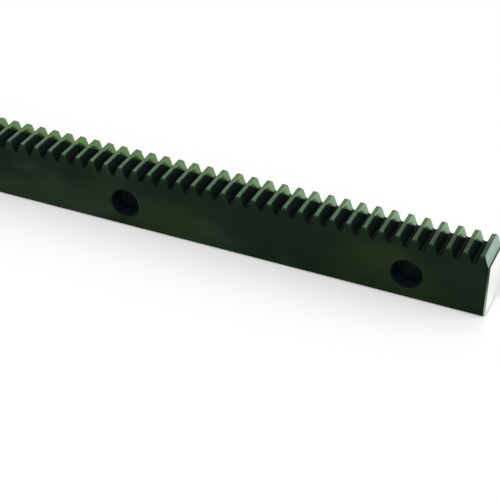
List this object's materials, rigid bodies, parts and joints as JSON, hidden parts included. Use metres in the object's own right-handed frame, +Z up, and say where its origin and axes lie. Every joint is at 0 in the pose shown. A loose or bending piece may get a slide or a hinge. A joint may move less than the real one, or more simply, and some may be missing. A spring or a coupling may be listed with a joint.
{
  "type": "gear rack",
  "caption": "Straight-toothed steel gear rack bar with a row of counterbored screw holes through its side, for a pinion to run along.",
  "frame": {"origin": "middle of the bottom face, half way along the bar and half way across it", "axes": "+X along the bar, +Y across it towards the plain side that seats on the machine, so the screw heads enter from -Y, and +Z up towards the tooth tips"},
  "size_m": [0.5106, 0.02, 0.033],
  "materials": {
    "blackened_steel": "black oxide, satin, with a thin film of oil"
  },
  "bodies": {
    "root": {"rack_bar": "blackened_steel"}
  },
  "joints": []
}
